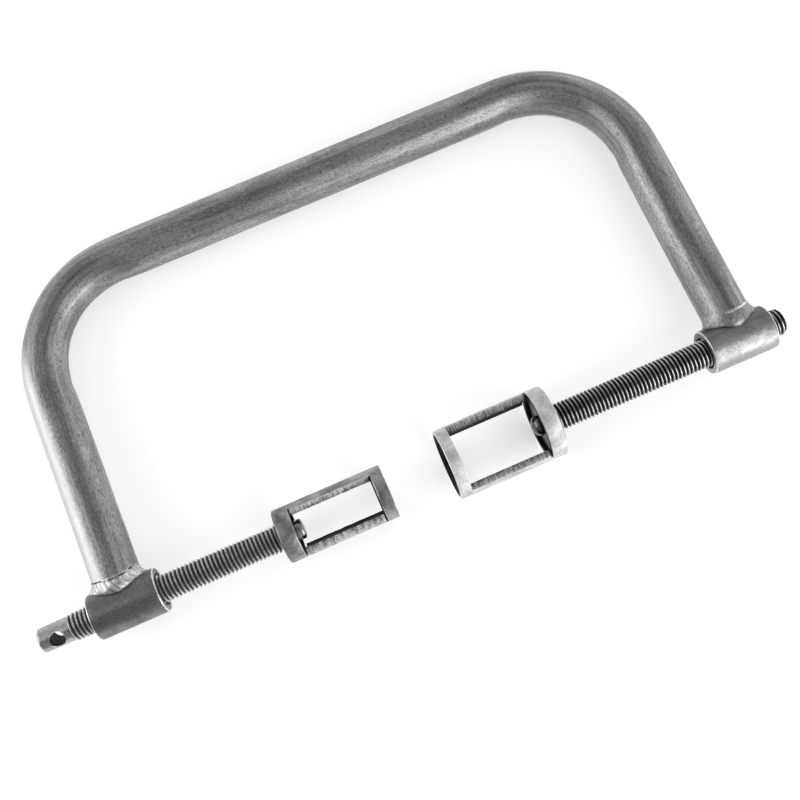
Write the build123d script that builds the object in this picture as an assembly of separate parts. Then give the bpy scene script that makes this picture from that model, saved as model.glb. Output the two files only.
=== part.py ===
from build123d import *
import math
import os

# Valve spring compressor: a bent tube C-frame, a threaded boss welded to each leg, and two
# M12 screw spindles on one axis. Each spindle carries a windowed cage that swivels on a headed pin.
# It lies flat, resting on the large cage and on the frame's back bar.
# +X runs along the spindles, away from the tommy-bar end; +Y towards the back bar; +Z up.
# The origin is the centre of the bounding box's base. All sizes are in millimetres.

# C-frame
TUBE_RADIUS = 10.0
TUBE_WALL = 2.5
LEG_SPACING = 275.4        # between the centre lines of the two legs
THROAT_DEPTH = 142.0       # from the spindle axis to the back bar's centre line
BEND_RADIUS = 45.0         # centre line of the two bends

# Threaded bosses
BOSS_RADIUS = 9.5
BOSS_LENGTH = 29.0
BOSS_INSET = 1.0           # each boss sits this far inwards of its leg's centre line
BOSS_EDGE = 0.6
COUNTERSINK = 1.1
THREAD_CLEARANCE = 0.06    # radial, between the thread's crest and the boss bore

# Weld between a leg and its boss: (height above the spindle axis, half width along the
# boss, half width across it) of its sections, from the foot to the crown
WELD_SECTIONS = [(3.0, 13.0, 9.4), (8.0, 12.6, 10.6), (11.0, 11.5, 10.3), (14.0, 10.3, 9.4)]

# M12 x 1.75 thread, cut as rings
CREST_RADIUS = 5.92
ROOT_RADIUS = 4.95
PITCH = 1.75
CREST_FLAT = PITCH / 8
ROOT_FLAT = PITCH / 4
THREAD_CHAMFER = 0.9

# Left spindle's bare end and tommy-bar hole
BARE_END_RADIUS = 5.15
BARE_END_LENGTH = 13.2
BARE_END_ROUND = 1.2
TOMMY_HOLE_RADIUS = 3.25
TOMMY_HOLE_INSET = 7.7     # from the spindle's tip to the hole's centre
TOMMY_HOLE_LEAN = 31.5     # degrees from upright, towards -Y
LEFT_THREAD_PROUD = 9.9    # thread showing outside the left boss
RIGHT_THREAD_PROUD = 6.0   # thread showing outside the right boss

# Cages, measured along the spindle axis
CAGE_LENGTH = 48.0
BASE_RING = 7.0
MOUTH_RING = 5.0
CAGE_WALL = 2.7
SMALL_CAGE_RADIUS = 11.5
LARGE_CAGE_RADIUS = 15.25
SMALL_CAGE_START = 52.15   # gap from the left boss to the small cage's base
LARGE_CAGE_START = 70.45   # gap from the right boss to the large cage's base
SMALL_BAR_HALF = 4.3       # half the height of the two side bars between the windows
LARGE_BAR_HALF = 5.7
SMALL_ROLL = 20.0          # degrees that each cage's windows lean towards -Y
LARGE_ROLL = 1.0
BASE_ROUND = 1.0
MOUTH_BEVEL = 1.3
KERF = 0.9                 # the saw's overrun at each window's base corners
KERF_DEPTH = 2.0

# Swivel joint in each cage's base
BASE_RECESS = 1.5          # the base plate's inner face lies this far behind the window's edge
WASHER_THICKNESS = 1.0
WASHER_RADIUS = 6.1
WASHER_BORE_RADIUS = 3.15
COUNTERBORE_RADIUS = 6.4
SHOULDER_ENTRY = 0.4       # how far the spindle's shoulder enters the base plate
FACE_GAP = 0.1             # running gap between faces that turn on each other
PIN_RADIUS = 3.0
PIN_CLEARANCE = 0.08
PIN_DEPTH = 12.0           # length of shank pressed into the spindle
PIN_HEAD_RADIUS = 4.35
SMALL_HEAD_HEIGHT = 4.6
LARGE_HEAD_HEIGHT = 3.9

# Places that follow from the sizes above
LEG_X = LEG_SPACING / 2
BOSS_X = LEG_X - BOSS_INSET
BOSS_FACE = BOSS_X - BOSS_LENGTH / 2
BOSS_BACK = BOSS_X + BOSS_LENGTH / 2
LEFT_TIP = -(BOSS_BACK + LEFT_THREAD_PROUD + BARE_END_LENGTH)
RIGHT_TIP = BOSS_BACK + RIGHT_THREAD_PROUD
MID_X = -(LEFT_TIP + RIGHT_TIP) / 2
AXIS_Z = LARGE_CAGE_RADIUS
FRAME_TILT = math.degrees(math.asin((AXIS_Z - TUBE_RADIUS) / THROAT_DEPTH))
BAR_REACH = THROAT_DEPTH * math.cos(math.radians(FRAME_TILT)) + TUBE_RADIUS
AXIS_Y = -(BAR_REACH - LARGE_CAGE_RADIUS) / 2
AXIS_PLACE = Location((MID_X, AXIS_Y, AXIS_Z))

os.makedirs("parts", exist_ok=True)


def rod(radius, start, length):
    """A cylinder along X from start."""
    return Pos(start + length / 2, 0, 0) * Rot(0, 90, 0) * Cylinder(radius, length)


def turned(points):
    """A solid turned about X from a half outline of (x, radius) points."""
    outline = make_face(Polyline(*points, close=True))
    return revolve(outline, axis=Axis.X)


def frame_tube():
    """One hollow tube bent twice, its square ends standing on the bosses."""
    corners = [(-LEG_X, BOSS_RADIUS), (-LEG_X, THROAT_DEPTH), (LEG_X, THROAT_DEPTH), (LEG_X, BOSS_RADIUS)]
    path = FilletPolyline(*corners, radius=BEND_RADIUS)
    ring = Circle(TUBE_RADIUS) - Circle(TUBE_RADIUS - TUBE_WALL)
    section = Plane(origin=path @ 0, z_dir=path % 0) * ring
    return sweep(section, path=path)


def boss(side):
    """The threaded barrel on one leg: side is -1 for the left and 1 for the right."""
    barrel = rod(BOSS_RADIUS, -BOSS_LENGTH / 2, BOSS_LENGTH)
    barrel = chamfer(barrel.edges().filter_by(GeomType.CIRCLE), BOSS_EDGE)
    bore_radius = CREST_RADIUS + THREAD_CLEARANCE
    barrel -= rod(bore_radius, -BOSS_LENGTH / 2, BOSS_LENGTH)
    for end in (-1, 1):
        face = end * BOSS_LENGTH / 2
        rim = bore_radius + COUNTERSINK
        inner = face - end * COUNTERSINK
        barrel -= turned([(face, 0), (face, rim), (inner, bore_radius), (inner, 0)])
    return Pos(side * BOSS_X, 0, 0) * barrel


def leg_cylinder(side, radius, start):
    """A cylinder on one leg's centre line, from a height above the spindle axis upwards."""
    return Pos(side * LEG_X, start + TUBE_RADIUS, 0) * Rot(90, 0, 0) * Cylinder(radius, 2 * TUBE_RADIUS)


def weld(side):
    """The weld bead that fills in under one tube end and spreads on to its boss."""
    sections = []
    for height, along, across in WELD_SECTIONS:
        plane = Plane(origin=(side * LEG_X, height, 0), x_dir=(1, 0, 0), z_dir=(0, 1, 0))
        sections.append(plane * Ellipse(along, across))
    bead = loft(sections)
    bead -= leg_cylinder(side, TUBE_RADIUS, BOSS_RADIUS)
    bead -= leg_cylinder(side, TUBE_RADIUS - TUBE_WALL, 0)
    bead -= Pos(side * LEG_X, 0, 0) * rod(BOSS_RADIUS, -BOSS_LENGTH, 2 * BOSS_LENGTH)
    return bead


def thread_points(start, end):
    """The (x, radius) points of thread rings between two places, chamfered at both ends."""
    points = [(start, CREST_RADIUS - THREAD_CHAMFER), (start + THREAD_CHAMFER, CREST_RADIUS)]
    flank = (PITCH - CREST_FLAT - ROOT_FLAT) / 2
    place = start + THREAD_CHAMFER + CREST_FLAT
    while place + PITCH < end - THREAD_CHAMFER:
        points.append((place, CREST_RADIUS))
        points.append((place + flank, ROOT_RADIUS))
        points.append((place + flank + ROOT_FLAT, ROOT_RADIUS))
        points.append((place + PITCH - CREST_FLAT, CREST_RADIUS))
        place += PITCH
    points.append((end - THREAD_CHAMFER, CREST_RADIUS))
    points.append((end, CREST_RADIUS - THREAD_CHAMFER))
    return points


def left_spindle(shoulder):
    """The spindle with the bare, cross-drilled end; shoulder is where its thread ends."""
    thread_start = LEFT_TIP + BARE_END_LENGTH
    points = [(LEFT_TIP, 0), (LEFT_TIP, BARE_END_RADIUS), (thread_start, BARE_END_RADIUS)]
    points += thread_points(thread_start, shoulder)[1:]
    points.append((shoulder, 0))
    spindle = turned(points)
    tip_edge = spindle.edges().filter_by(GeomType.CIRCLE).sort_by(Axis.X)[0]
    spindle = fillet(tip_edge, BARE_END_ROUND)
    drill = Cylinder(TOMMY_HOLE_RADIUS, 4 * CREST_RADIUS)
    spindle -= Pos(LEFT_TIP + TOMMY_HOLE_INSET, 0, 0) * Rot(TOMMY_HOLE_LEAN, 0, 0) * drill
    spindle -= rod(PIN_RADIUS, shoulder - PIN_DEPTH, PIN_DEPTH)
    return spindle


def right_spindle(shoulder):
    """The spindle whose plain threaded end just passes its boss."""
    points = [(shoulder, 0)] + thread_points(shoulder, RIGHT_TIP) + [(RIGHT_TIP, 0)]
    return turned(points) - rod(PIN_RADIUS, shoulder, PIN_DEPTH)


def cage_shell(radius, bar_half):
    """A tube cage from its base at X = 0 to its mouth, with a window cut above and below."""
    inner = radius - CAGE_WALL
    shell = rod(radius, 0, CAGE_LENGTH)
    base_edge = shell.edges().filter_by(GeomType.CIRCLE).sort_by(Axis.X)[0]
    shell = fillet(base_edge, BASE_ROUND)
    shell -= rod(inner, 0, CAGE_LENGTH)
    lip = CAGE_LENGTH - MOUTH_BEVEL
    shell -= turned([(lip, 0), (lip, inner), (CAGE_LENGTH, inner + MOUTH_BEVEL), (CAGE_LENGTH, 0)])
    window = CAGE_LENGTH - BASE_RING - MOUTH_RING
    for side in (-1, 1):
        middle = side * (bar_half + radius / 2)
        shell -= Pos(BASE_RING + window / 2, 0, middle) * Box(window, 3 * radius, radius)
        slit = side * (bar_half - KERF_DEPTH / 2)
        shell -= Pos(BASE_RING + KERF / 2, 0, slit) * Box(KERF, 3 * radius, KERF_DEPTH + 0.2)
    return shell


def cage_base(radius):
    """The plate that closes the cage's base, bored for the pin and recessed for its washer."""
    thickness = BASE_RING - BASE_RECESS
    plate = rod(radius - CAGE_WALL, 0, thickness)
    plate -= rod(COUNTERBORE_RADIUS, 0, SHOULDER_ENTRY + WASHER_THICKNESS + 2 * FACE_GAP)
    plate -= rod(PIN_RADIUS + PIN_CLEARANCE, 0, thickness)
    return plate


def thrust_washer():
    """The washer between the spindle's shoulder and the cage's base plate."""
    start = SHOULDER_ENTRY + FACE_GAP
    washer = rod(WASHER_RADIUS, start, WASHER_THICKNESS)
    return washer - rod(WASHER_BORE_RADIUS, start, WASHER_THICKNESS)


def swivel_pin(head_height, domed):
    """The headed pin pressed into a spindle; its head holds the cage on."""
    under_head = BASE_RING - BASE_RECESS + FACE_GAP
    shank_start = SHOULDER_ENTRY - PIN_DEPTH
    shank = rod(PIN_RADIUS, shank_start, under_head - shank_start)
    head = rod(PIN_HEAD_RADIUS, under_head, head_height)
    rim = head.edges().filter_by(GeomType.CIRCLE).sort_by(Axis.X)[-1]
    rounding = 0.8 * head_height if domed else 0.3 * head_height
    return shank + fillet(rim, rounding)


def facing(side, base):
    """Places a cage built along +X: base outwards, mouth towards the middle."""
    turn = Rot(0, 0, 180) if side > 0 else Rot(0, 0, 0)
    return Pos(base, 0, 0) * turn


small_base = -(BOSS_FACE - SMALL_CAGE_START)
large_base = BOSS_FACE - LARGE_CAGE_START
to_small = facing(-1, small_base) * Rot(SMALL_ROLL, 0, 0)
to_large = facing(1, large_base) * Rot(-LARGE_ROLL, 0, 0)

frame_nodes = {
    "frame_tube": frame_tube(),
    "left_boss": boss(-1),
    "right_boss": boss(1),
    "left_weld": weld(-1),
    "right_weld": weld(1),
}
axis_nodes = {
    "left_spindle": left_spindle(small_base + SHOULDER_ENTRY),
    "left_swivel_pin": to_small * swivel_pin(SMALL_HEAD_HEIGHT, domed=False),
    "left_thrust_washer": to_small * thrust_washer(),
    "small_cage_base": to_small * cage_base(SMALL_CAGE_RADIUS),
    "small_cage_shell": to_small * cage_shell(SMALL_CAGE_RADIUS, SMALL_BAR_HALF),
    "right_spindle": right_spindle(large_base - SHOULDER_ENTRY),
    "right_swivel_pin": to_large * swivel_pin(LARGE_HEAD_HEIGHT, domed=True),
    "right_thrust_washer": to_large * thrust_washer(),
    "large_cage_base": to_large * cage_base(LARGE_CAGE_RADIUS),
    "large_cage_shell": to_large * cage_shell(LARGE_CAGE_RADIUS, LARGE_BAR_HALF),
}

for name, shape in frame_nodes.items():
    export_step(AXIS_PLACE * Rot(-FRAME_TILT, 0, 0) * shape, f"parts/{name}.step")
for name, shape in axis_nodes.items():
    export_step(AXIS_PLACE * shape, f"parts/{name}.step")
print("spindle axis at", AXIS_PLACE.position, "frame tilt", FRAME_TILT)
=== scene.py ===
import bmesh
import bpy
import math
from mathutils import Matrix, Vector, noise


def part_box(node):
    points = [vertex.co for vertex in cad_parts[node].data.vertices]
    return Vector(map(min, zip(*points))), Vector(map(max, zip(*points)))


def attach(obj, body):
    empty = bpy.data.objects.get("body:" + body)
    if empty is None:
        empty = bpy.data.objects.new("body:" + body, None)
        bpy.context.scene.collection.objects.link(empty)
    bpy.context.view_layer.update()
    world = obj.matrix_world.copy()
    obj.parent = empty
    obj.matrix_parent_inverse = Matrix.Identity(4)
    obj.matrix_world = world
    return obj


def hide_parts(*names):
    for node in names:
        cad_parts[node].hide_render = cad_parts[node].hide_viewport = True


# Valve spring compressor: a bent tube frame with two facing screws and their windowed cages.
# Lengths are in metres. The frame lies a little tilted on the surface; its own plane has X along
# the screws and Y from the screws to the back bar, and the matrix in_plane brings it into place.

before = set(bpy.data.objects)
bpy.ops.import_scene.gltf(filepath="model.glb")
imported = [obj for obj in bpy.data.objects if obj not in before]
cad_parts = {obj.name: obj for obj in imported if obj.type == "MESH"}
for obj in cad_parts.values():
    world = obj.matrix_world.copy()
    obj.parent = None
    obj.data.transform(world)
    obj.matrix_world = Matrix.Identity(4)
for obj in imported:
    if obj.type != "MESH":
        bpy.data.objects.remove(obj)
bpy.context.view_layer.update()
MM = 0.001


# ---------------------------------------------------------------- sizes

# First the sizes that the frame can't tell, then the ones read from it.
TUBE_RADIUS = 10 * MM
BEND_RADIUS = 45 * MM
THREAD_PITCH = 1.75 * MM
THREAD_ROOT = 4.95 * MM
CAGE_WALL = 2.7 * MM
BASE_RING = 7 * MM
MOUTH_RING = 5 * MM
BASE_RECESS = 1.5 * MM
CAGE_LIP = 0.2 * MM
CAGE_COLUMNS = 144
KERF = 0.9 * MM
KERF_DEPTH = 2 * MM
PIN_RADIUS = 3 * MM
PIN_HEAD_RADIUS = 4.35 * MM
PIN_LENGTH = 17 * MM
WELD_HEIGHT = 13.7 * MM
WELD_REACH = 12.9 * MM
BARE_END_RADIUS = 5.15 * MM
BARE_END_LENGTH = 13.2 * MM
INNER_TIP_RADIUS = 5.1 * MM
OUTER_TIP_RADIUS = 4.9 * MM
TOMMY_HOLE_INSET = 7.7 * MM
TOMMY_HOLE_RADIUS = 3.25 * MM
TOMMY_HOLE_LEAN = math.radians(31.5)
SMALL_BAR_HALF = 4.3 * MM
LARGE_BAR_HALF = 5.7 * MM
SMALL_ROLL = math.radians(20)
LARGE_ROLL = math.radians(1)

tube_low, tube_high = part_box("frame_tube")
left_low, left_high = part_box("left_spindle")
right_low, right_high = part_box("right_spindle")
small_low, small_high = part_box("small_cage_shell")
large_low, large_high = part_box("large_cage_shell")
left_boss_low, left_boss_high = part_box("left_boss")
right_boss_low, right_boss_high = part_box("right_boss")

AXIS_Y = (left_low.y + left_high.y) / 2
AXIS_Z = (left_low.z + left_high.z) / 2
MID_X = (tube_low.x + tube_high.x) / 2
LEG_X = tube_high.x - MID_X - TUBE_RADIUS
BAR_OFFSET = Vector((tube_high.y - TUBE_RADIUS - AXIS_Y, tube_low.z + TUBE_RADIUS - AXIS_Z))
THROAT = BAR_OFFSET.length
TILT = math.atan2(BAR_OFFSET.y, BAR_OFFSET.x)
THREAD_CREST = (left_high.z - left_low.z) / 2
BOSS_RADIUS = (left_boss_high.z - left_boss_low.z) / 2
BOSS_BORE = THREAD_CREST + 0.06 * MM
BEND_Y = THROAT - BEND_RADIUS
BEND_X = LEG_X - BEND_RADIUS
BEND_ARC = BEND_RADIUS * math.pi / 2
AXIS_POINT = Vector((MID_X, AXIS_Y, AXIS_Z))
in_plane = Matrix.Translation(AXIS_POINT) @ Matrix.Rotation(TILT, 4, "X")
on_axis = Matrix.Translation((0, AXIS_Y, AXIS_Z))


# ---------------------------------------------------------------- mesh helpers

def finish_piece(name, bm, place, body, nodes, finishes, crease=35):
    """Puts a mesh in place, gives it its finishes and its body, and stands it in for CAD nodes."""
    bmesh.ops.transform(bm, matrix=place, verts=bm.verts)
    bmesh.ops.recalc_face_normals(bm, faces=bm.faces)
    mesh = bpy.data.meshes.new(name)
    bm.to_mesh(mesh)
    bm.free()
    mesh.shade_smooth()
    mesh.set_sharp_from_angle(angle=math.radians(crease))
    for finish in finishes:
        mesh.materials.append(finish)
    piece = bpy.data.objects.new(name, mesh)
    bpy.context.scene.collection.objects.link(piece)
    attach(piece, body)
    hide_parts(*nodes)
    return piece


def turn(outline, steps=96, closed=True):
    """Spins an outline of (x, radius) points a full turn about X; radius 0 closes a pole."""
    bm = bmesh.new()
    verts = [bm.verts.new((x, radius, 0)) for x, radius in outline]
    edges = [bm.edges.new(pair) for pair in zip(verts, verts[1:])]
    if closed:
        edges.append(bm.edges.new((verts[-1], verts[0])))
    bmesh.ops.spin(bm, geom=verts + edges, cent=(0, 0, 0), axis=(1, 0, 0), dvec=(0, 0, 0),
                   angle=2 * math.pi, steps=steps, use_merge=True, use_duplicate=False)
    bmesh.ops.remove_doubles(bm, verts=bm.verts, dist=1e-7)
    return bm


def arc(centre_x, centre_r, radius, start, end, steps=5):
    """Points (x, radius) of a corner's arc; the angles are in degrees from +X."""
    angles = [math.radians(start + (end - start) * i / steps) for i in range(steps + 1)]
    return [(centre_x + radius * math.cos(a), centre_r + radius * math.sin(a)) for a in angles]


def cut_away(bm, tool):
    """Returns bm with the closed mesh tool cut out of it."""
    parts = []
    for source in (bm, tool):
        bmesh.ops.recalc_face_normals(source, faces=source.faces)
        mesh = bpy.data.meshes.new("blank")
        source.to_mesh(mesh)
        source.free()
        parts.append(bpy.data.objects.new("blank", mesh))
        bpy.context.scene.collection.objects.link(parts[-1])
    blank, cutter = parts
    boolean = blank.modifiers.new("cut", "BOOLEAN")
    boolean.operation = "DIFFERENCE"
    boolean.solver = "EXACT"
    boolean.object = cutter
    result = bmesh.new()
    result.from_object(blank, bpy.context.evaluated_depsgraph_get())
    for part in parts:
        bpy.data.objects.remove(part)
    return result


# ---------------------------------------------------------------- node helpers

def set_inputs(tree, node, values):
    """Links or sets each of a node's inputs, by its name or its number."""
    for key, value in values.items():
        if isinstance(value, bpy.types.NodeSocket):
            tree.links.new(value, node.inputs[key])
        else:
            node.inputs[key].default_value = value


def add(tree, kind, values=None, **settings):
    """A shader node with its settings and its sockets' values set."""
    node = tree.nodes.new(kind)
    for key, value in settings.items():
        setattr(node, key, value)
    set_inputs(tree, node, values or {})
    return node


def clouds(tree, vector, scale, detail=4.0, roughness=0.55, distortion=0.0):
    """A noise value that changes over the given coordinates; scale is in cells a metre."""
    values = {"Vector": vector, "Scale": scale, "Detail": detail, "Roughness": roughness,
              "Distortion": distortion}
    return add(tree, "ShaderNodeTexNoise", values).outputs["Fac"]


def remap(tree, value, low, high, to_low=0.0, to_high=1.0):
    """A value stretched from one range to another, and held inside it."""
    values = {"Value": value, "From Min": low, "From Max": high, "To Min": to_low, "To Max": to_high}
    return add(tree, "ShaderNodeMapRange", values, clamp=True).outputs["Result"]


def stretched(tree, vector, scale=(1, 1, 1), location=(0, 0, 0)):
    """Coordinates scaled, then moved, for a pattern that runs along something."""
    values = {"Vector": vector, "Scale": scale, "Location": location}
    return add(tree, "ShaderNodeMapping", values).outputs["Vector"]


def blend(tree, factor, first, second, mode="MIX"):
    """A colour between two colours."""
    node = add(tree, "ShaderNodeMix", data_type="RGBA", blend_type=mode)
    set_inputs(tree, node, {0: factor, 6: first, 7: second})
    return node.outputs[2]


def math_node(tree, operation, first, second=0.0, third=0.0):
    return add(tree, "ShaderNodeMath", {0: first, 1: second, 2: third}, operation=operation).outputs[0]


def grey(value, warmth=0.0):
    """A grey of some lightness, a little warm if asked."""
    return (value * (1 + warmth), value, value * (1 - warmth), 1)


def new_group(name, inputs, outputs):
    """An empty node group; inputs and outputs are (name, socket type, default) rows."""
    group = bpy.data.node_groups.new(name, "ShaderNodeTree")
    for label, kind, default in inputs:
        socket = group.interface.new_socket(label, in_out="INPUT", socket_type=kind)
        if default is not None:
            socket.default_value = default
    for label, kind in outputs:
        group.interface.new_socket(label, in_out="OUTPUT", socket_type=kind)
    return group, group.nodes.new("NodeGroupInput").outputs, group.nodes.new("NodeGroupOutput").inputs


def make_patina_group():
    """Bare steel's uneven colour: large clouds, small stains and dark specks."""
    inputs = [("Vector", "NodeSocketVector", None), ("Cloud Scale", "NodeSocketFloat", 60.0),
              ("Light", "NodeSocketColor", grey(0.5)), ("Dark", "NodeSocketColor", grey(0.2)),
              ("Stain", "NodeSocketColor", grey(0.1)), ("Stains", "NodeSocketFloat", 0.4),
              ("Mottling", "NodeSocketFloat", 0.3)]
    group, given, out = new_group("Steel patina", inputs,
                                  [("Color", "NodeSocketColor"), ("Clouds", "NodeSocketFloat")])
    vector = given["Vector"]
    big = clouds(group, vector, given["Cloud Scale"], 5.0, 0.6, 0.6)
    small = clouds(group, vector, math_node(group, "MULTIPLY", given["Cloud Scale"], 7.0), 4.0, 0.65)
    mixed = math_node(group, "ADD", math_node(group, "MULTIPLY", big, 0.7),
                      math_node(group, "MULTIPLY", small, 0.3))
    spread = remap(group, mixed, 0.36, 0.64)
    base = blend(group, spread, given["Dark"], given["Light"])
    fine = clouds(group, vector, 1700.0, 3.0, 0.6)
    fine_tone = math_node(group, "MULTIPLY_ADD", remap(group, fine, 0.32, 0.68, -1.0, 1.0),
                          given["Mottling"], 1.0)
    mottled = blend(group, 1.0, base, fine_tone, "MULTIPLY")
    specks = clouds(group, vector, 1200.0, 2.0, 0.5)
    speck = math_node(group, "MULTIPLY", remap(group, specks, 0.6, 0.7), given["Stains"])
    group.links.new(blend(group, speck, mottled, given["Stain"]), out["Color"])
    group.links.new(spread, out["Clouds"])
    return group


def make_grain_group():
    """Fine lines and pits: drawn, ground or turned marks on Vector, which is stretched first."""
    inputs = [("Vector", "NodeSocketVector", None), ("Line Scale", "NodeSocketFloat", 900.0),
              ("Lines", "NodeSocketFloat", 0.5), ("Pits", "NodeSocketFloat", 0.5)]
    group, given, out = new_group("Steel grain", inputs,
                                  [("Height", "NodeSocketFloat"), ("Lines", "NodeSocketFloat")])
    lines = clouds(group, given["Vector"], given["Line Scale"], 3.0, 0.6)
    pits = remap(group, clouds(group, given["Vector"], 2600.0, 2.0), 0.35, 0.6)
    height = math_node(group, "ADD", math_node(group, "MULTIPLY", lines, given["Lines"]),
                       math_node(group, "MULTIPLY", pits, given["Pits"]))
    group.links.new(height, out["Height"])
    group.links.new(lines, out["Lines"])
    return group


patina = make_patina_group()
grain = make_grain_group()


def use(tree, group, values):
    """Places a node group in a material with the material's own values."""
    return add(tree, "ShaderNodeGroup", values, node_tree=group).outputs


def new_steel(name):
    """A bare metal material: returns it with its tree, its shader and its Object coordinates."""
    material = bpy.data.materials.new(name)
    material.use_nodes = True
    tree = material.node_tree
    shader = tree.nodes["Principled BSDF"]
    shader.inputs["Metallic"].default_value = 1.0
    place = tree.nodes.new("ShaderNodeTexCoord").outputs["Object"]
    return material, tree, shader, place


def set_surface(tree, shader, color, roughness, height, strength, distance=0.05 * MM):
    """Feeds colour, roughness and a bump from a height into the shader."""
    bump = add(tree, "ShaderNodeBump", {"Strength": strength, "Distance": distance, "Height": height})
    tree.links.new(bump.outputs["Normal"], shader.inputs["Normal"])
    tree.links.new(color, shader.inputs["Base Color"])
    tree.links.new(roughness, shader.inputs["Roughness"])


def axis_distance(tree, place):
    """The distance of a point from the screws' axis."""
    moved = stretched(tree, place, location=(0, -AXIS_Y, -AXIS_Z))
    flat = add(tree, "ShaderNodeVectorMath", {0: moved, 1: (0, 1, 1)}, operation="MULTIPLY")
    return add(tree, "ShaderNodeVectorMath", {0: flat.outputs[0]}, operation="LENGTH").outputs["Value"]


def tube_finish():
    """Drawn tube: dull, finely mottled grey with long streaks, nicks, and a painted highlight lightening
    its left flank.
    """
    material, tree, shader, place = new_steel("drawn_tube_steel")
    path = add(tree, "ShaderNodeUVMap", uv_map="along_around").outputs["UV"]
    drawn = stretched(tree, path, scale=(0.05, 1, 1))
    tone = use(tree, patina, {"Vector": stretched(tree, path, scale=(0.4, 1, 1)), "Cloud Scale": 80.0,
                              "Light": grey(0.36), "Dark": grey(0.18), "Stain": grey(0.06),
                              "Stains": 0.6, "Mottling": 0.45})
    streaks = clouds(tree, drawn, 380.0, 3.0, 0.6)
    streaked = blend(tree, remap(tree, streaks, 0.5, 0.68, 0.0, 0.55), tone["Color"], grey(0.47))
    dark_lines = clouds(tree, stretched(tree, drawn, location=(3, 3, 0)), 230.0, 3.0, 0.6)
    streaked = blend(tree, remap(tree, dark_lines, 0.5, 0.66, 0.0, 0.55), streaked, grey(0.1))
    # Painted highlight: the left leg's outer flank is lightened, standing in for the light from the
    # left.
    sideways = add(tree, "ShaderNodeSeparateXYZ", {0: place}).outputs["X"]
    left_edge = MID_X - LEG_X - TUBE_RADIUS
    sheen_start, sheen_end = left_edge + 0.4 * TUBE_RADIUS, left_edge + 0.8 * TUBE_RADIUS
    wear_and_sheen = remap(tree, sideways, sheen_end, sheen_start, 0.0, 0.7)
    streaked = blend(tree, wear_and_sheen, streaked, grey(0.68))
    marks = use(tree, grain, {"Vector": drawn, "Line Scale": 1500.0, "Lines": 0.8, "Pits": 0.45})
    nicks = clouds(tree, stretched(tree, path, scale=(0.45, 1, 1)), 400.0, 8.0, 0.75, 1.5)
    color = blend(tree, remap(tree, nicks, 0.64, 0.7), streaked, grey(0.8))
    roughness = remap(tree, tone["Clouds"], 0.0, 1.0, 0.46, 0.36)
    set_surface(tree, shader, color, roughness, marks["Height"], 0.4)
    return material


def boss_finish(name, light, dark, scorch):
    """Turned bar: satin, darker towards the weld, where the heat has stained it."""
    material, tree, shader, place = new_steel(name)
    tone = use(tree, patina, {"Vector": place, "Cloud Scale": 110.0, "Light": grey(light),
                              "Dark": grey(dark), "Stain": grey(0.08), "Stains": 0.35})
    upward = add(tree, "ShaderNodeSeparateXYZ", {0: stretched(tree, place, location=(0, -AXIS_Y, 0))})
    wander = math_node(tree, "MULTIPLY", clouds(tree, place, 160.0), 4 * MM)
    height = math_node(tree, "ADD", upward.outputs["Y"], wander)
    heat = remap(tree, height, 1.5 * MM, 6 * MM, 0.0, scorch)
    color = blend(tree, heat, tone["Color"], grey(0.1, 0.02))
    marks = use(tree, grain, {"Vector": place, "Line Scale": 1300.0, "Lines": 0.5, "Pits": 0.6})
    roughness = remap(tree, tone["Clouds"], 0.0, 1.0, 0.45, 0.34)
    set_surface(tree, shader, color, roughness, marks["Height"], 0.4)
    return material


def weld_finish(name, light, dark, line, line_start):
    """Brushed weld bead: darker between its ripples, with a broken line where it meets the tube.

    The line runs on the side past line_start, in metres along X."""
    material, tree, shader, place = new_steel(name)
    tone = use(tree, patina, {"Vector": place, "Cloud Scale": 230.0, "Light": grey(light),
                              "Dark": grey(dark), "Stain": grey(0.03), "Stains": 0.5})
    ripple = add(tree, "ShaderNodeAttribute", attribute_name="ripple").outputs["Fac"]
    share = add(tree, "ShaderNodeAttribute", attribute_name="share").outputs["Fac"]
    rippled = blend(tree, remap(tree, ripple, 0.0, 0.6, 0.85, 0.0), tone["Color"], grey(dark * 0.35))
    broken = clouds(tree, place, 420.0, 3.0, 0.6)
    rise = remap(tree, share, 0.02, 0.07)
    fall = remap(tree, share, 0.09, 0.15, 1.0, 0.0)
    seam = math_node(tree, "MULTIPLY", math_node(tree, "MULTIPLY", rise, fall),
                     remap(tree, broken, 0.4, 0.5))
    sideways = add(tree, "ShaderNodeSeparateXYZ", {0: place}).outputs["X"]
    past = remap(tree, sideways, line_start, line_start + 2 * MM)
    lined = blend(tree, math_node(tree, "MULTIPLY", seam, past), rippled, grey(line))
    toe = math_node(tree, "MULTIPLY", remap(tree, share, 0.78, 0.97), remap(tree, broken, 0.3, 0.6))
    color = blend(tree, toe, lined, grey(dark * 0.4))
    marks = use(tree, grain, {"Vector": place, "Line Scale": 1800.0, "Lines": 0.6, "Pits": 0.6})
    roughness = remap(tree, tone["Clouds"], 0.0, 1.0, 0.48, 0.36)
    set_surface(tree, shader, color, roughness, marks["Height"], 0.6)
    return material


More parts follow.
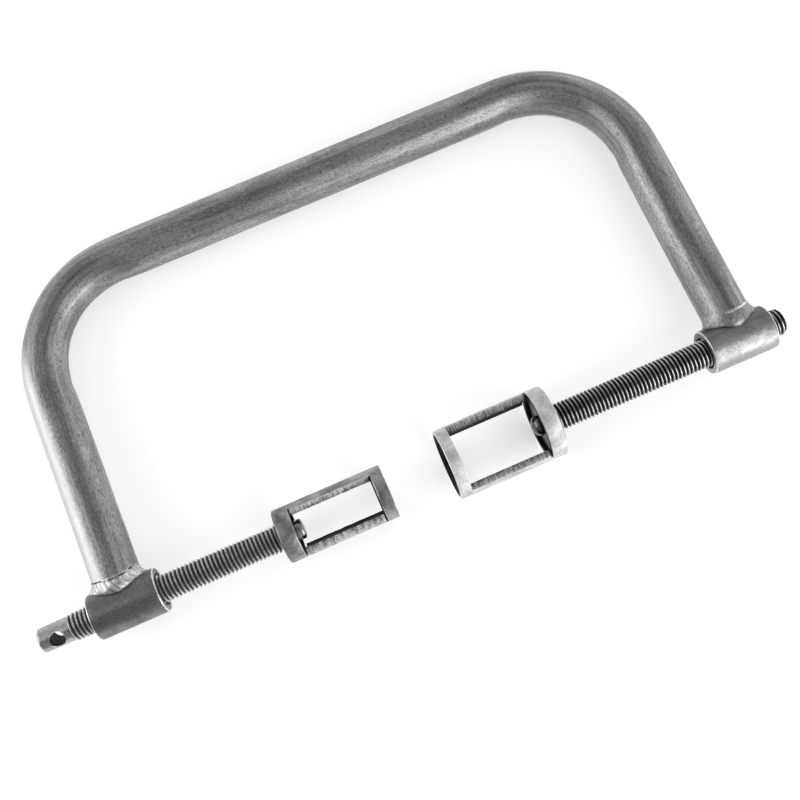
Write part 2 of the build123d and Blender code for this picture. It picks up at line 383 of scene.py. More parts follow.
def thread_finish(name, crest, flank, groove):
    """Oiled thread: worn bright on the crest, dark up to the height groove above its root."""
    material, tree, shader, place = new_steel(name)
    radius = axis_distance(tree, place)
    wander = math_node(tree, "MULTIPLY", clouds(tree, place, 300.0, 5.0), 0.5 * MM)
    wear_and_sheen = remap(tree, math_node(tree, "ADD", radius, wander), THREAD_ROOT + groove,
                 THREAD_CREST + 0.2 * MM)
    tone = use(tree, patina, {"Vector": place, "Cloud Scale": 200.0, "Light": grey(crest),
                              "Dark": grey(crest * 0.7), "Stain": grey(0.03), "Stains": 0.5})
    color = blend(tree, wear_and_sheen, grey(flank), tone["Color"])
    marks = use(tree, grain, {"Vector": place, "Line Scale": 1600.0, "Lines": 0.5, "Pits": 0.4})
    roughness = remap(tree, wear_and_sheen, 0.0, 1.0, 0.55, 0.28)
    set_surface(tree, shader, color, roughness, marks["Height"], 0.3)
    return material


def turned_finish(name, light, dark, lines=0.8):
    """Satin turned steel: fine rings round the screws' axis."""
    material, tree, shader, place = new_steel(name)
    tone = use(tree, patina, {"Vector": place, "Cloud Scale": 120.0, "Light": grey(light),
                              "Dark": grey(dark), "Stain": grey(0.06), "Stains": 0.4})
    rings = stretched(tree, place, scale=(1, 0.05, 0.05))
    marks = use(tree, grain, {"Vector": rings, "Line Scale": 2500.0, "Lines": lines, "Pits": 0.2})
    roughness = remap(tree, tone["Clouds"], 0.0, 1.0, 0.4, 0.26)
    set_surface(tree, shader, tone["Color"], roughness, marks["Height"], 0.3)
    return material


def cage_finish(name, light, dark, rough):
    """Light satin steel with cloudy handling stains."""
    material, tree, shader, place = new_steel(name)
    tone = use(tree, patina, {"Vector": place, "Cloud Scale": 130.0, "Light": grey(light, 0.01),
                              "Dark": grey(dark, 0.01), "Stain": grey(0.14), "Stains": 0.15,
                              "Mottling": 0.08})
    brushed = stretched(tree, place, scale=(0.1, 1, 1))
    marks = use(tree, grain, {"Vector": brushed, "Line Scale": 1500.0, "Lines": 0.5, "Pits": 0.2})
    roughness = remap(tree, tone["Clouds"], 0.0, 1.0, rough + 0.05, rough - 0.05)
    set_surface(tree, shader, tone["Color"], roughness, marks["Height"], 0.25)
    return material


def sawn_finish(radius):
    """The windows' rough cut faces: the saw's lines across them, blacker towards the inside with painted
    shade.
    """
    material, tree, shader, place = new_steel("sawn_steel")
    lines = stretched(tree, place, scale=(1, 0.15, 0.15))
    cuts = clouds(tree, lines, 900.0, 5.0, 0.7)
    rough = clouds(tree, place, 1500.0, 5.0, 0.7)
    height = math_node(tree, "ADD", cuts, math_node(tree, "MULTIPLY", rough, 0.9))
    # Painted shade: the faces darken towards the inside of the wall.
    depth = remap(tree, axis_distance(tree, place), radius - CAGE_WALL, radius, -0.16, 0.1)
    color = blend(tree, remap(tree, math_node(tree, "ADD", height, depth), 0.7, 1.1),
                  grey(0.06), grey(0.62))
    roughness = remap(tree, rough, 0.3, 0.7, 0.6, 0.4)
    set_surface(tree, shader, color, roughness, height, 0.8, 0.25 * MM)
    return material


def plain_finish(name, light, dark, rough):
    """A plain steel surface of one tone, such as an edge lightened with a painted highlight or an inside
    darkened with painted shade.
    """
    material, tree, shader, place = new_steel(name)
    tone = use(tree, patina, {"Vector": place, "Cloud Scale": 300.0, "Light": grey(light),
                              "Dark": grey(dark), "Stain": grey(dark * 0.5), "Stains": 0.4})
    marks = use(tree, grain, {"Vector": place, "Line Scale": 1600.0, "Lines": 0.5, "Pits": 0.5})
    roughness = remap(tree, tone["Clouds"], 0.0, 1.0, rough + 0.05, rough - 0.05)
    set_surface(tree, shader, tone["Color"], roughness, marks["Height"], 0.35)
    return material


def gloss_finish(name, light, dark):
    """The pins' glossy heads."""
    material, tree, shader, place = new_steel(name)
    tone = use(tree, patina, {"Vector": place, "Cloud Scale": 300.0, "Light": grey(light),
                              "Dark": grey(dark), "Stain": grey(0.04), "Stains": 0.4})
    marks = use(tree, grain, {"Vector": place, "Line Scale": 1500.0, "Lines": 0.4, "Pits": 0.3})
    roughness = remap(tree, tone["Clouds"], 0.0, 1.0, 0.34, 0.24)
    set_surface(tree, shader, tone["Color"], roughness, marks["Height"], 0.25)
    return material


# ---------------------------------------------------------------- frame

def tube_place(point):
    """(distance along the tube, angle round it) of a point on it, in the frame's own plane."""
    side = 1 if point.x > 0 else -1
    across = abs(point.x)
    if point.y < BEND_Y:
        along = point.y
        outward = across - LEG_X
    elif across < BEND_X:
        along = BEND_Y + BEND_ARC + BEND_X - across
        outward = point.y - THROAT
    else:
        sideways, up = across - BEND_X, point.y - BEND_Y
        along = BEND_Y + BEND_RADIUS * math.atan2(up, sideways)
        outward = math.hypot(sideways, up) - BEND_RADIUS
    half = BEND_Y + BEND_ARC + BEND_X
    return (along if side < 0 else 2 * half - along), math.atan2(point.z, outward), outward


def tube_shape(point):
    """Where a point of a perfect tube goes on the real one: flattened and creased at the bends."""
    flattening, more_outside, less_inside = 0.05, 1.7, 0.7
    crease_depth, crease_length, waviness = 0.35 * MM, 4 * MM, 0.12 * MM
    along, angle, outward = tube_place(point)
    half = BEND_Y + BEND_ARC + BEND_X
    near = min(along, 2 * half - along)
    middle = (near - BEND_Y - BEND_ARC / 2) / (BEND_ARC / 2 + 10 * MM)
    flat = flattening * max(0.0, 1 - middle * middle) ** 1.2
    crease = 0.0
    for edge in (BEND_Y, BEND_Y + BEND_ARC):
        crease += math.exp(-(((near - edge) / crease_length) ** 2))
    inside = max(0.0, -math.cos(angle)) ** 2
    wave = waviness * noise.noise(Vector((along * 60, math.cos(angle), math.sin(angle))))
    flat *= more_outside if outward > 0 else less_inside
    shift = -outward * flat + inside * crease * crease_depth - abs(wave) * math.cos(angle)
    across = abs(point.x)
    if point.y < BEND_Y:
        outwards = Vector((1, 0))
    elif across < BEND_X:
        outwards = Vector((0, 1))
    else:
        outwards = Vector((across - BEND_X, point.y - BEND_Y)).normalized()
    side = 1 if point.x > 0 else -1
    return Vector((point.x + side * outwards.x * shift, point.y + outwards.y * shift, point.z))


def extrude_ring(bm, ring, step, count):
    """Extends an open ring of edges by a number of equal steps."""
    for _ in range(count):
        made = bmesh.ops.extrude_edge_only(bm, edges=ring)["geom"]
        verts = [g for g in made if isinstance(g, bmesh.types.BMVert)]
        bmesh.ops.translate(bm, vec=step, verts=verts)
        ring = [g for g in made if isinstance(g, bmesh.types.BMEdge)]
    return ring


def bend_ring(bm, ring, centre, steps):
    """Bends an open ring of edges a quarter turn about an upright line."""
    verts = list({v for e in ring for v in e.verts})
    made = bmesh.ops.spin(bm, geom=verts + ring, cent=centre, axis=(0, 0, -1), dvec=(0, 0, 0),
                          angle=math.pi / 2, steps=steps, use_merge=False, use_duplicate=False)
    return [g for g in made["geom_last"] if isinstance(g, bmesh.types.BMEdge)]


def build_tube():
    """The bent tube, from the left boss round to the right one."""
    bm = bmesh.new()
    foot = Matrix.Translation((-LEG_X, BOSS_RADIUS, 0)) @ Matrix.Rotation(math.pi / 2, 4, "X")
    bmesh.ops.create_circle(bm, cap_ends=False, segments=80, radius=TUBE_RADIUS, matrix=foot)
    ring = list(bm.edges)
    leg_steps, bend_steps, bar_steps = 36, 36, 60
    up = Vector((0, (BEND_Y - BOSS_RADIUS) / leg_steps, 0))
    ring = extrude_ring(bm, ring, up, leg_steps)
    ring = bend_ring(bm, ring, (-BEND_X, BEND_Y, 0), bend_steps)
    ring = extrude_ring(bm, ring, Vector((2 * BEND_X / bar_steps, 0, 0)), bar_steps)
    ring = bend_ring(bm, ring, (BEND_X, BEND_Y, 0), bend_steps)
    extrude_ring(bm, ring, -up, leg_steps)
    bmesh.ops.remove_doubles(bm, verts=bm.verts, dist=1e-7)
    bmesh.ops.holes_fill(bm, edges=[e for e in bm.edges if e.is_boundary], sides=0)
    uv = bm.loops.layers.uv.new("along_around")
    for face in bm.faces:
        places = [tube_place(loop.vert.co) for loop in face.loops]
        seam = max(p[1] for p in places) - min(p[1] for p in places) > math.pi
        for loop, (along, angle, _) in zip(face.loops, places):
            turned = angle + 2 * math.pi if seam and angle < 0 else angle
            loop[uv].uv = (along, turned * TUBE_RADIUS)
    for vert in bm.verts:
        vert.co = tube_shape(vert.co)
    return bm


def build_boss(low, high):
    """One threaded barrel: slot 0 outside, 1 on its broken edges, 2 inside its countersinks."""
    half = (high.x - low.x) / 2
    edge, sink = 0.5 * MM, 1.1 * MM
    outline = arc(-half + edge, BOSS_RADIUS - edge, edge, 180, 90, 3)
    outline += [(x * half / 4, BOSS_RADIUS) for x in (-3, -2, -1, 0, 1, 2, 3)]
    outline += arc(half - edge, BOSS_RADIUS - edge, edge, 90, 0, 3)
    outline += [(half, BOSS_BORE + sink), (half - sink, BOSS_BORE), (-half + sink, BOSS_BORE),
                (-half, BOSS_BORE + sink)]
    bm = turn(outline, 112)
    countersunk = BOSS_BORE + 0.7 * MM
    for face in bm.faces:
        middle = face.calc_center_median()
        reach = math.hypot(middle.y, middle.z)
        if reach < countersunk:
            face.material_index = 2
        elif abs(middle.x) > half - edge and reach > BOSS_RADIUS - edge:
            face.material_index = 1
    bmesh.ops.translate(bm, vec=((low.x + high.x) / 2, 0, 0), verts=bm.verts)
    return bm


def weld_point(angle, share, roughness, toe):
    """A point of the bead's skin: angle round the leg, share from its crown to its foot.

    Returns the point and how high it stands on its ripples, from 0 to 1."""
    front_dip, unevenness, fullness = 2.6 * MM, 0.5 * MM, 0.15 * MM
    ripple_length, ripple_height = 2.3 * MM, 0.42 * MM
    lump_height, grit_height = 0.22 * MM, 0.1 * MM
    along, across = math.cos(angle), math.sin(angle)
    front = across * across
    wander = unevenness * noise.noise(Vector((3 * along, 3 * across, roughness)))
    crown_height = WELD_HEIGHT - front_dip * front + wander
    crown = Vector((TUBE_RADIUS * along, crown_height, TUBE_RADIUS * across))
    spread = WELD_REACH + 1.2 * wander
    foot_z = (BOSS_RADIUS - toe - 0.6 * wander) * across
    foot = Vector((spread * along, math.sqrt(BOSS_RADIUS ** 2 - foot_z ** 2), foot_z))
    corner = Vector((TUBE_RADIUS * 1.03 * along, BOSS_RADIUS * (1.03 - 0.45 * front),
                     TUBE_RADIUS * 1.03 * across))
    skin = crown.lerp(corner, share).lerp(corner.lerp(foot, share), share)
    drift = 0.45 * noise.noise(Vector((2.5 * along, 2.5 * across, 2 * share)))
    phase = (angle * TUBE_RADIUS / ripple_length + 1.4 * share * share + drift) % 1.0
    ripple = 1 - (1 - math.sin(math.pi * phase ** 0.6)) * roughness
    out = Vector((along, 0.35, across)).normalized()
    strength = 0.6 + 0.5 * noise.noise(Vector((4 * along, 4 * across, 7)))
    belly = 4 * share * (1 - share)
    height = fullness + roughness * strength * ripple_height * ripple
    bumps = lump_height * noise.noise(skin * 450) + grit_height * noise.noise(skin * 1100)
    return skin + out * belly * (height + bumps), ripple


def build_weld(side, roughness, toe):
    """The bead round one leg's foot, closed underneath, with its ripple and share attributes."""
    bm = bmesh.new()
    ripples = bm.verts.layers.float.new("ripple")
    shares = bm.verts.layers.float.new("share")
    steps = 20
    bmesh.ops.create_circle(bm, cap_ends=False, segments=180, radius=TUBE_RADIUS)
    rings = [list(bm.verts)]
    ring = list(bm.edges)
    for _ in range(steps + 2):
        made = bmesh.ops.extrude_edge_only(bm, edges=ring)["geom"]
        ring = [g for g in made if isinstance(g, bmesh.types.BMEdge)]
        rings.append([g for g in made if isinstance(g, bmesh.types.BMVert)])
    for number, verts in enumerate(rings):
        share = min(max((number - 1) / steps, 0), 1)
        for vert in verts:
            angle = math.atan2(vert.co.y, vert.co.x)
            point, vert[ripples] = weld_point(angle, share, roughness, toe)
            vert[shares] = share
            if number == 0:
                point = Vector((point.x * 0.93, point.y, point.z * 0.93))
            if number == steps + 2:
                point = Vector((point.x * 0.9, point.y * 0.8, point.z * 0.9))
            vert.co = point + Vector((side * LEG_X, 0, 0))
    bmesh.ops.bridge_loops(bm, edges=[e for e in bm.edges if e.is_boundary])
    return bm


# ---------------------------------------------------------------- screws and pins

def build_thread(start, end, left_radius, right_radius):
    """A right-hand threaded rod between two places, its ends tapered to the given radii."""
    bm = bmesh.new()
    flat, crest = THREAD_PITCH / 4, THREAD_PITCH / 8
    flank = (THREAD_PITCH - flat - crest) / 2
    steps = 64
    turns = math.ceil((end - start) / THREAD_PITCH) + 3
    x = start - 1.5 * THREAD_PITCH
    outline = [(x, THREAD_ROOT), (x + flat, THREAD_ROOT), (x + flat + flank, THREAD_CREST),
               (x + flat + flank + crest, THREAD_CREST), (x + THREAD_PITCH, THREAD_ROOT)]
    verts = [bm.verts.new((along, radius, 0)) for along, radius in outline]
    edges = [bm.edges.new(pair) for pair in zip(verts, verts[1:])]
    bmesh.ops.spin(bm, geom=verts + edges, cent=(0, 0, 0), axis=(1, 0, 0),
                   dvec=(THREAD_PITCH / steps, 0, 0), angle=2 * math.pi, steps=steps,
                   use_merge=False, use_duplicate=False)
    made = 1
    while made < turns:
        copy = bmesh.ops.duplicate(bm, geom=list(bm.verts) + list(bm.edges) + list(bm.faces))["geom"]
        copied = [g for g in copy if isinstance(g, bmesh.types.BMVert)]
        bmesh.ops.translate(bm, vec=(made * THREAD_PITCH, 0, 0), verts=copied)
        made *= 2
    bmesh.ops.remove_doubles(bm, verts=bm.verts, dist=1e-6)
    for place, normal in ((start, (-1, 0, 0)), (end, (1, 0, 0))):
        bmesh.ops.bisect_plane(bm, geom=list(bm.verts) + list(bm.edges) + list(bm.faces),
                               dist=1e-7, plane_co=(place, 0, 0), plane_no=normal, clear_outer=True)
    for vert in bm.verts:
        radius = math.hypot(vert.co.y, vert.co.z)
        limit = min(left_radius + (vert.co.x - start), right_radius + (end - vert.co.x))
        if radius > limit:
            vert.co.y *= limit / radius
            vert.co.z *= limit / radius
    bmesh.ops.remove_doubles(bm, verts=bm.verts, dist=1e-6)
    bmesh.ops.holes_fill(bm, edges=[e for e in bm.edges if e.is_boundary], sides=0)
    return bm


def build_bare_end(tip, length):
    """The spindle's smooth end: slot 1 outside, 2 round the tommy-bar hole's rim, 3 in its bore."""
    edge, core, overlap = 1.2 * MM, 4.6 * MM, 0.5 * MM
    outline = [(tip, 0)] + [(tip, share * (BARE_END_RADIUS - edge) / 5) for share in (1, 2, 3, 4)]
    outline += arc(tip + edge, BARE_END_RADIUS - edge, edge, 180, 90, 6)
    count = 36
    straight = length - edge - 0.01 * MM
    outline += [(tip + edge + straight * i / count, BARE_END_RADIUS) for i in range(1, count + 1)]
    outline += [(tip + length + overlap, core), (tip + length + overlap, 0)]
    bar = turn(outline, 112, closed=False)
    drill = bmesh.new()
    centre = Vector((tip + TOMMY_HOLE_INSET, 0, 0))
    lean = Matrix.Rotation(TOMMY_HOLE_LEAN, 4, "X")
    bmesh.ops.create_cone(drill, cap_ends=True, segments=96, radius1=TOMMY_HOLE_RADIUS,
                          radius2=TOMMY_HOLE_RADIUS, depth=4 * BARE_END_RADIUS,
                          matrix=Matrix.Translation(centre) @ lean)
    bar = cut_away(bar, drill)
    drill_line = lean.to_3x3() @ Vector((0, 0, 1))
    in_bore = TOMMY_HOLE_RADIUS + 0.02 * MM
    for face in bar.faces:
        reaches = [(v.co - centre).cross(drill_line).length for v in face.verts]
        face.material_index = 1
        if max(reaches) < in_bore:
            face.material_index = 3
        elif min(reaches) < in_bore:
            face.material_index = 2
    return bar


def build_left_spindle():
    """The left screw: thread and bare end as one piece."""
    thread_start = left_low.x + BARE_END_LENGTH
    bm = build_thread(thread_start, left_high.x, BARE_END_RADIUS, INNER_TIP_RADIUS)
    bar = build_bare_end(left_low.x, BARE_END_LENGTH)
    mesh = bpy.data.meshes.new("bare_end")
    bar.to_mesh(mesh)
    bar.free()
    bm.from_mesh(mesh)
    bpy.data.meshes.remove(mesh)
    return bm


def build_pin(under_head, head_height, edge):
    """A headed pin; its head starts at under_head. A small edge rounds its rim, a full one domes it."""
    head, shank, tip = PIN_HEAD_RADIUS, PIN_RADIUS, under_head - PIN_LENGTH
    top = under_head + head_height
    outline = [(tip, 0), (tip, shank), (under_head, shank), (under_head, head - 0.2 * MM),
               (under_head + 0.2 * MM, head)]
    if edge < head_height - 1 * MM:
        outline += arc(top - edge, head - edge, edge, 90, 0, 8)
    else:
        rise = head_height - 0.8 * MM
        for i in range(13):
            angle = math.radians(90 - 7.5 * i)
            outline.append((top - rise + rise * math.cos(angle), head * math.sin(angle)))
        outline.pop()
    outline.append((top, 0))
    return turn(outline, 72, closed=False)


# ---------------------------------------------------------------- cages

def cage_outline(radius, length):
    """The wall's outline: outside from the base to the mouth, then back along the inside."""
    inner = radius - CAGE_WALL
    edge, bevel = 1.0 * MM, 1.3 * MM
    window_start, window_end = BASE_RING, length - MOUTH_RING
    slit_end = window_start + KERF
    count = 40
    stations = [window_start, slit_end]
    stations += [slit_end + (window_end - slit_end) * i / count for i in range(1, count + 1)]
    mouth_middle = length - MOUTH_RING / 2
    outline = arc(edge, radius - edge, edge, 180, 90, 6)
    outline += [(BASE_RING / 2, radius)] + [(x, radius) for x in stations]
    outline += [(mouth_middle, radius), (length - CAGE_LIP, radius), (length, radius - CAGE_LIP)]
    outline += [(length, inner + bevel), (length - bevel, inner), (mouth_middle, inner)]
    outline += [(x, inner) for x in reversed(stations)]
    outline += [(BASE_RING / 2, inner), (0, inner)]
    return outline


def space_columns(bm, bar_half, bar_edge):
    """Turns the spun columns about X so that one lies on each bar's edge and one on each slit's."""
    column = 2 * math.pi / CAGE_COLUMNS
    slit_column, edge_column = 5 * column, 9 * column
    for vert in bm.verts:
        y, z = vert.co.y, vert.co.z
        distance = math.hypot(y, z)
        angle = math.atan2(abs(z), abs(y))
        edge_angle = math.asin(bar_edge(y, z) / distance)
        slit_angle = math.asin((bar_half - KERF_DEPTH) / distance)
        knots = [(0, 0), (slit_column, slit_angle), (edge_column, edge_angle),
                 (math.pi / 2, math.pi / 2)]
        for (a, to_a), (b, to_b) in zip(knots, knots[1:]):
            if angle <= b + 1e-4:
                angle = to_a + (to_b - to_a) * (angle - a) / (b - a)
                break
        vert.co.y = math.copysign(distance * math.cos(angle), y)
        vert.co.z = math.copysign(distance * math.sin(angle), z)


def open_windows(bm, window_end, bar_half, bar_edge):
    """Takes out the faces between the bars, and the slits that the saw left at their base ends."""
    gone = []
    for face in bm.faces:
        middle = face.calc_center_median()
        in_slit = middle.x < BASE_RING + KERF
        depth = bar_half - KERF_DEPTH if in_slit else bar_edge(middle.y, middle.z)
        if BASE_RING < middle.x < window_end and abs(middle.z) > depth:
            gone.append(face)
    bmesh.ops.delete(bm, geom=gone, context="FACES")


def twist_outside(bm, window_end, middle_radius, skew):
    """Turns the outer skin about X between the windows' ends, so that their sides lean."""
    for vert in bm.verts:
        x, y, z = vert.co
        beside = BASE_RING - 0.1 * MM < x < window_end + 0.1 * MM
        if beside and math.hypot(y, z) > middle_radius:
            vert.co.y = y * math.cos(skew) - z * math.sin(skew)
            vert.co.z = y * math.sin(skew) + z * math.cos(skew)


def rough_cut_faces(bm, cut_faces, radius, seed):
    """Divides the sawn faces across the wall and makes them and their edges uneven."""
    middle = radius - CAGE_WALL / 2

    def reach(vert):
        return math.hypot(vert.co.y, vert.co.z)

    across = {e for f in cut_faces for e in f.edges
              if (reach(e.verts[0]) - middle) * (reach(e.verts[1]) - middle) < 0}
    bmesh.ops.subdivide_edges(bm, edges=list(across), cuts=4, use_grid_fill=True)
    sawn = {v for f in bm.faces if f.material_index == 1 for v in f.verts}
    for vert in sawn:
        if abs(vert.co.x - BASE_RING) < KERF * 1.5:
            continue
        share = (radius - reach(vert)) / CAGE_WALL
        side = 1 if vert.co.z > 0 else -1
        flank = 1 if vert.co.y > 0 else -1
        spot = Vector((vert.co.x * 900, side * 3 + flank + seed, share * 0.8))
        coarse = Vector((vert.co.x * 330, side * 5 + flank * 2 + seed, share))
        depth = 0.1 * noise.noise(spot) + (0.12 + 0.45 * share ** 3) * noise.noise(coarse)
        vert.co.z += side * depth * MM
    rims = [e for e in bm.edges if e.is_manifold
            and {f.material_index for f in e.link_faces} == {0, 1}]
    made = bmesh.ops.bevel(bm, geom=rims, offset=0.16 * MM, offset_type="OFFSET", affect="EDGES",
                           segments=2, profile=0.5, material=-1, clamp_overlap=True)
    # The bevels take the bright edges' painted highlight.
    for face in made["faces"]:
        face.material_index = 3


def build_cage(radius, bar_half, slant, skew, rise, seed):
    """A cage from its base at X = 0 to its mouth, with two opposite windows sawn out of it.

    The saw leaned by slant, through the wall, where it cut the windows' mouth ends, and by the
    angle skew where it cut their sides. One bar's upper side stands higher inside, by rise.
    Slot 0 is outside, 1 sawn, 2 inside and at the windows' ends, darkened with painted shade, 3 on the
    bright edges, lightened with a painted highlight."""
    length = large_high.x - large_low.x
    window_end = length - MOUTH_RING
    middle_radius = radius - CAGE_WALL / 2

    def bar_edge(y, z):
        raised = y < 0 < z and math.hypot(y, z) < middle_radius
        return bar_half + (rise if raised else 0)

    bm = turn(cage_outline(radius, length), CAGE_COLUMNS)
    space_columns(bm, bar_half, bar_edge)
    open_windows(bm, window_end, bar_half, bar_edge)
    twist_outside(bm, window_end, middle_radius, skew)
    cut_faces = []
    for side in (-1, 1):
        rim = [e for e in bm.edges if e.is_boundary and e.verts[0].co.z * side > 0]
        cut_faces += bmesh.ops.bridge_loops(bm, edges=rim)["faces"]
    for face in bm.faces:
        middle = face.calc_center_median()
        if math.hypot(middle.y, middle.z) < middle_radius:
            face.material_index = 2
        elif middle.x > length - CAGE_LIP:
            face.material_index = 3
    for face in cut_faces:
        face.material_index = 1
    rough_cut_faces(bm, cut_faces, radius, seed)
    mouth_ends = window_end - 0.3 * MM
    sawn = {v for f in bm.faces if f.material_index == 1 for v in f.verts}
    for vert in sawn:
        if vert.co.x > mouth_ends:
            share = (radius - math.hypot(vert.co.y, vert.co.z)) / CAGE_WALL
            vert.co.x -= slant * min(max(share, 0), 1)
    # The sawn faces at the windows' ends take the inside's painted shade.
    for face in bm.faces:
        x = face.calc_center_median().x
        at_end = x > mouth_ends - slant or x < BASE_RING + 0.1 * MM
        if face.material_index == 1 and at_end:
            face.material_index = 2
    return bm


def build_base(radius):
    """The plate in a cage's base, bored for its pin and recessed outside for the spindle."""
    plate = radius - CAGE_WALL
    thickness = BASE_RING - BASE_RECESS
    recess, bore, depth = 6.4 * MM, PIN_RADIUS + 0.08 * MM, 1.6 * MM
    outline = [(0.02 * MM, recess), (0.02 * MM, plate), (thickness, plate), (thickness, bore + 0.3 * MM),
               (thickness - 0.3 * MM, bore), (depth, bore), (depth, recess)]
    return turn(outline, 112)


def build_cages_and_pins(bright_edge, dark_inside):
    """Both cages with their base plates and pins, each on its own body."""
    small_steel = cage_finish("small_cage_satin_steel", 0.43, 0.12, 0.47)
    large_steel = cage_finish("large_cage_satin_steel", 0.82, 0.48, 0.6)
    # Painted shade: the base plates are near black, standing in for the shade deep inside the cages.
    shaded_base_steel = turned_finish("painted_shade_turned_steel", 0.05, 0.02)
    under_head = BASE_RING - BASE_RECESS + 0.1 * MM
    to_small = Matrix.Translation((small_low.x, AXIS_Y, AXIS_Z)) @ Matrix.Rotation(SMALL_ROLL, 4, "X")
    half_turn = Matrix.Rotation(math.pi, 4, "Z")
    to_large = Matrix.Translation((large_high.x, AXIS_Y, AXIS_Z)) @ half_turn
    to_large = to_large @ Matrix.Rotation(-LARGE_ROLL, 4, "X")
    small_saw = {"bar_half": SMALL_BAR_HALF, "slant": 0.8 * MM, "skew": math.radians(5),
                 "rise": 1.3 * MM, "seed": 3}
    large_saw = {"bar_half": LARGE_BAR_HALF, "slant": 0.0, "skew": 0.0, "rise": 0.0, "seed": 8}
    small_head = {"head_height": 4.6 * MM, "edge": 1.2 * MM}
    large_head = {"head_height": 3.9 * MM, "edge": 3.9 * MM}
    rows = [("small", "left", small_high.z - AXIS_Z, small_saw, to_small, small_head,
             small_steel, gloss_finish("grey_pin_steel", 0.45, 0.25)),
            ("large", "right", large_high.z - AXIS_Z, large_saw, to_large, large_head,
             large_steel, gloss_finish("dark_pin_steel", 0.24, 0.08))]
    for size, side, radius, saw, place, head, cage_steel, pin_steel in rows:
        body = f"{size}_cage"
        finish_piece(f"{size}_cage", build_cage(radius, **saw), place, body,
                     [f"{size}_cage_shell"],
                     [cage_steel, sawn_finish(radius), dark_inside, bright_edge], 30)
        finish_piece(f"{size}_base_plate", build_base(radius), place, body,
                     [f"{size}_cage_base"], [shaded_base_steel])
        finish_piece(f"{side}_rivet_pin", build_pin(under_head, **head), place, f"{side}_screw",
                     [f"{side}_swivel_pin"], [pin_steel])


def build_frame_pieces(bright_edge, dark_inside):
    """The bent tube, its two barrels and the beads that join them."""
    finish_piece("bent_tube", build_tube(), in_plane, "frame", ["frame_tube"],
                 [tube_finish()])
    whole_bead = left_low.x
    outer_half = MID_X + LEG_X - 4 * MM
    rows = [("left", -1, left_boss_low, left_boss_high,
             {"light": 0.25, "dark": 0.13, "scorch": 0.35},
             {"light": 0.78, "dark": 0.4, "line": 0.02, "line_start": whole_bead},
             {"roughness": 1.0, "toe": 1.1 * MM}),
            ("right", 1, right_boss_low, right_boss_high,
             {"light": 0.44, "dark": 0.28, "scorch": 0.85},
             {"light": 0.42, "dark": 0.2, "line": 0.85, "line_start": outer_half},
             {"roughness": 0.15, "toe": 0.7 * MM})]
    for name, side, low, high, boss_look, bead_look, bead_shape in rows:
        finish_piece(f"{name}_barrel", build_boss(low, high), on_axis, "frame", [f"{name}_boss"],
                     [boss_finish(f"{name}_barrel_steel", **boss_look), bright_edge, dark_inside])
        finish_piece(f"{name}_bead", build_weld(side, **bead_shape), in_plane, "frame",
                     [f"{name}_weld"],
                     [weld_finish(f"{name}_bead_metal", **bead_look)])


def build_screws(bright_edge, dark_inside):
    """Both spindles, and a plain finish for the washers, which keep their own shape."""
    bare_steel = turned_finish("satin_turned_steel", 0.46, 0.34)
    left_thread = thread_finish("left_thread_steel", 0.95, 0.07, 0.35 * MM)
    right_thread = thread_finish("right_thread_steel", 0.7, 0.025, 0.65 * MM)
    finish_piece("left_screw_spindle", build_left_spindle(), on_axis, "left_screw",
                 ["left_spindle"], [left_thread, bare_steel, bright_edge, dark_inside])
    right = build_thread(right_low.x, right_high.x, INNER_TIP_RADIUS, OUTER_TIP_RADIUS)
    finish_piece("right_screw_spindle", right, on_axis, "right_screw",
                 ["right_spindle"], [right_thread])
    washer_steel = turned_finish("washer_plain_steel", 0.35, 0.25)
    for name in ("left_thrust_washer", "right_thrust_washer"):
        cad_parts[name].material_slots[0].material = washer_steel


# ---------------------------------------------------------------- stage

CAMERA_SENSOR = 36                                     # millimetres across, as is the lens
CAMERA_LENS = 45.57825
CAMERA_PLACE = Vector((-27.85, -63.05, 412.95)) * MM   # from the frame's middle, in its plane
CAMERA_TURNS = (0.229397, -0.057882, -0.010888)        # radians about X, Y and Z
CAMERA_ROLL = math.radians(-23.3405)


def place_camera():
    """The camera looks down on the tool, with the back bar rising to the right."""
    data = bpy.data.cameras.new("camera")
    data.sensor_width = CAMERA_SENSOR
    data.lens = CAMERA_LENS
    data.clip_start = 0.01
    data.clip_end = 20
    camera = bpy.data.objects.new("camera", data)
    bpy.context.scene.collection.objects.link(camera)
    about_x, about_y, about_z = CAMERA_TURNS
    turned = (Matrix.Rotation(about_z, 4, "Z") @ Matrix.Rotation(about_y, 4, "Y")
              @ Matrix.Rotation(about_x, 4, "X") @ Matrix.Rotation(CAMERA_ROLL, 4, "Z"))
    camera.matrix_world = in_plane @ Matrix.Translation(CAMERA_PLACE) @ turned
    bpy.context.scene.camera = camera


def place_floor():
    """A pale, matt surface that the tool lies on."""
    bm = bmesh.new()
    bmesh.ops.create_grid(bm, x_segments=1, y_segments=1, size=3)
    mesh = bpy.data.meshes.new("floor")
    bm.to_mesh(mesh)
    bm.free()
    floor = bpy.data.objects.new("floor", mesh)
    bpy.context.scene.collection.objects.link(floor)
    material = bpy.data.materials.new("white_board")
    material.use_nodes = True
    shader = material.node_tree.nodes["Principled BSDF"]
    shader.inputs["Base Color"].default_value = (0.8, 0.8, 0.8, 1)
    shader.inputs["Roughness"].default_value = 0.9
    shader.inputs["Specular IOR Level"].default_value = 0.0
    shader.inputs["Emission Color"].default_value = (1, 1, 1, 1)
    shader.inputs["Emission Strength"].default_value = 0.48
    mesh.materials.append(material)


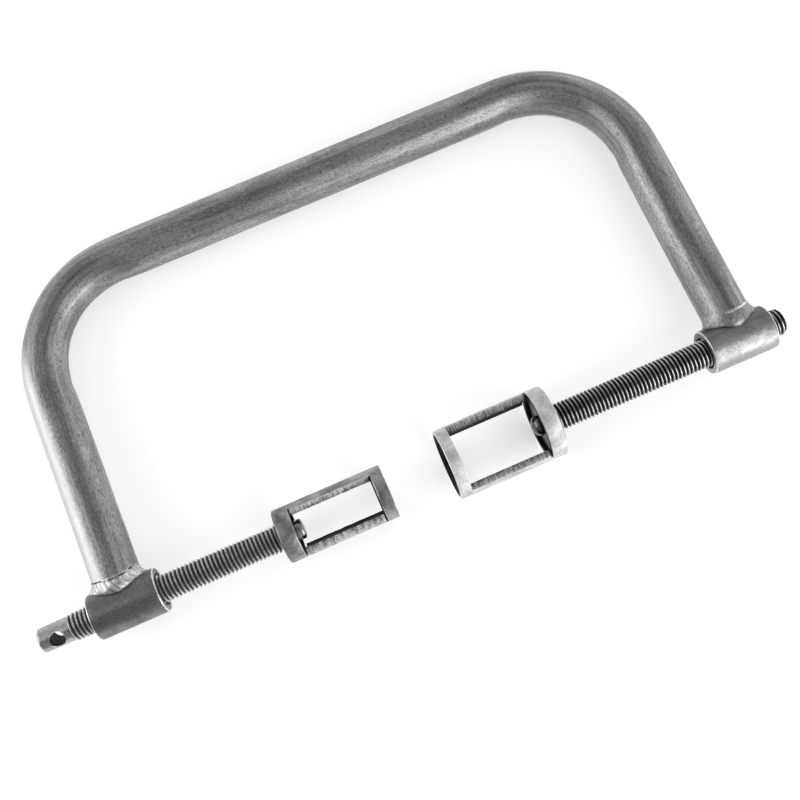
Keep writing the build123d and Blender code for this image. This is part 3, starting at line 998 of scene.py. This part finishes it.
def add_light(name, place, size, brightness):
    """A softbox that faces the tool's middle; brightness is that of its own face."""
    data = bpy.data.lights.new(name, "AREA")
    data.shape = "RECTANGLE"
    data.size, data.size_y = size
    data.energy = 4 * size[0] * size[1] * brightness
    light = bpy.data.objects.new(name, data)
    bpy.context.scene.collection.objects.link(light)
    aim = -Vector(place)
    light.matrix_world = Matrix.Translation(place) @ aim.to_track_quat("-Z", "Y").to_matrix().to_4x4()


def place_lights():
    """Soft light all round, darker overhead, with softboxes at the left and the front right."""
    world = bpy.data.worlds.new("studio")
    world.use_nodes = True
    bpy.context.scene.world = world
    tree = world.node_tree
    direction = tree.nodes.new("ShaderNodeTexCoord").outputs["Generated"]
    parts = add(tree, "ShaderNodeSeparateXYZ", {0: direction}).outputs
    sky = remap(tree, parts["Z"], 0.3, 0.97, 0.8, 0.37)
    low_band = remap(tree, parts["Z"], 0.08, 0.3, 1.25, 0.85)
    sky = math_node(tree, "MULTIPLY", sky, low_band)
    sideways = math_node(tree, "MULTIPLY_ADD", parts["X"], 0.6, 1.0)
    lengthways = math_node(tree, "MULTIPLY_ADD", parts["Y"], 0.35, sideways)
    sky = math_node(tree, "MULTIPLY", sky, lengthways)
    tree.links.new(sky, tree.nodes["Background"].inputs["Strength"])
    tree.nodes["Background"].inputs["Color"].default_value = (1, 1, 1, 1)
    add_light("left_high", (-0.5, 0.1, 0.7), (0.3, 0.6), 0.6)
    add_light("left_low", (-0.86, 0.2, 0.36), (0.9, 0.72), 1.5)
    add_light("front_right", (0.45, -0.75, 0.6), (0.6, 0.9), 1.6)
    add_light("front_low", (0.5, -0.9, 0.16), (0.8, 0.25), 2.2)


# Painted highlight: the light grey of the bright edges, rims and bevels stands in for the light that
# they catch.
highlight_edges = plain_finish("painted_highlight_edge_steel", 0.85, 0.5, 0.3)
# Painted shade: the near-black inside surfaces, bores and window ends stand in for the shade inside
# them.
shaded_insides = plain_finish("painted_shade_inside_steel", 0.03, 0.012, 0.55)
build_frame_pieces(highlight_edges, shaded_insides)
build_screws(highlight_edges, shaded_insides)
build_cages_and_pins(highlight_edges, shaded_insides)
place_camera()
place_floor()
place_lights()
bpy.context.scene.view_settings.view_transform = "Standard"
